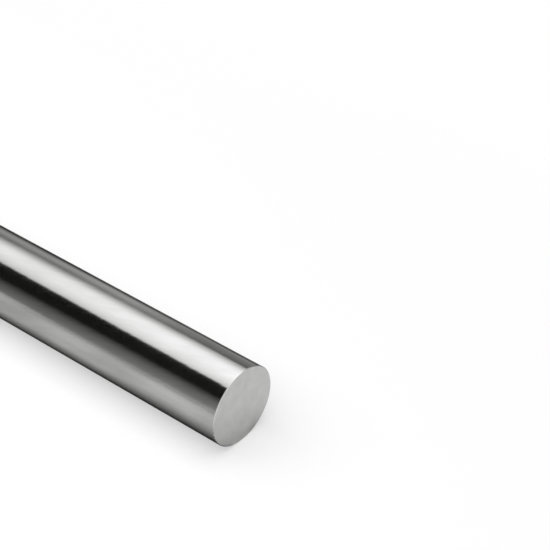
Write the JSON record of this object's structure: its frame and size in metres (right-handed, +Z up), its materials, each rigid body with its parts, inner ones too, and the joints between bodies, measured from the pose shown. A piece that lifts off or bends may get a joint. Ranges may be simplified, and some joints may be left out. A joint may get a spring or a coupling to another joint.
{
  "type": "round metal bar",
  "caption": "Solid round steel bar, a straight length of polished stock with square-cut ends and lightly broken edges.",
  "frame": {"origin": "on the floor, under the middle of the bar's length; the bar lies with its wall on z = 0", "axes": "+X along the bar towards the end that the picture shows, +Z up, and the picture looks from the +X, -Y side and from above"},
  "size_m": [1, 0.0498, 0.05],
  "materials": {
    "polished_steel": "polished"
  },
  "bodies": {
    "root": {"round_bar": "polished_steel"}
  },
  "joints": []
}
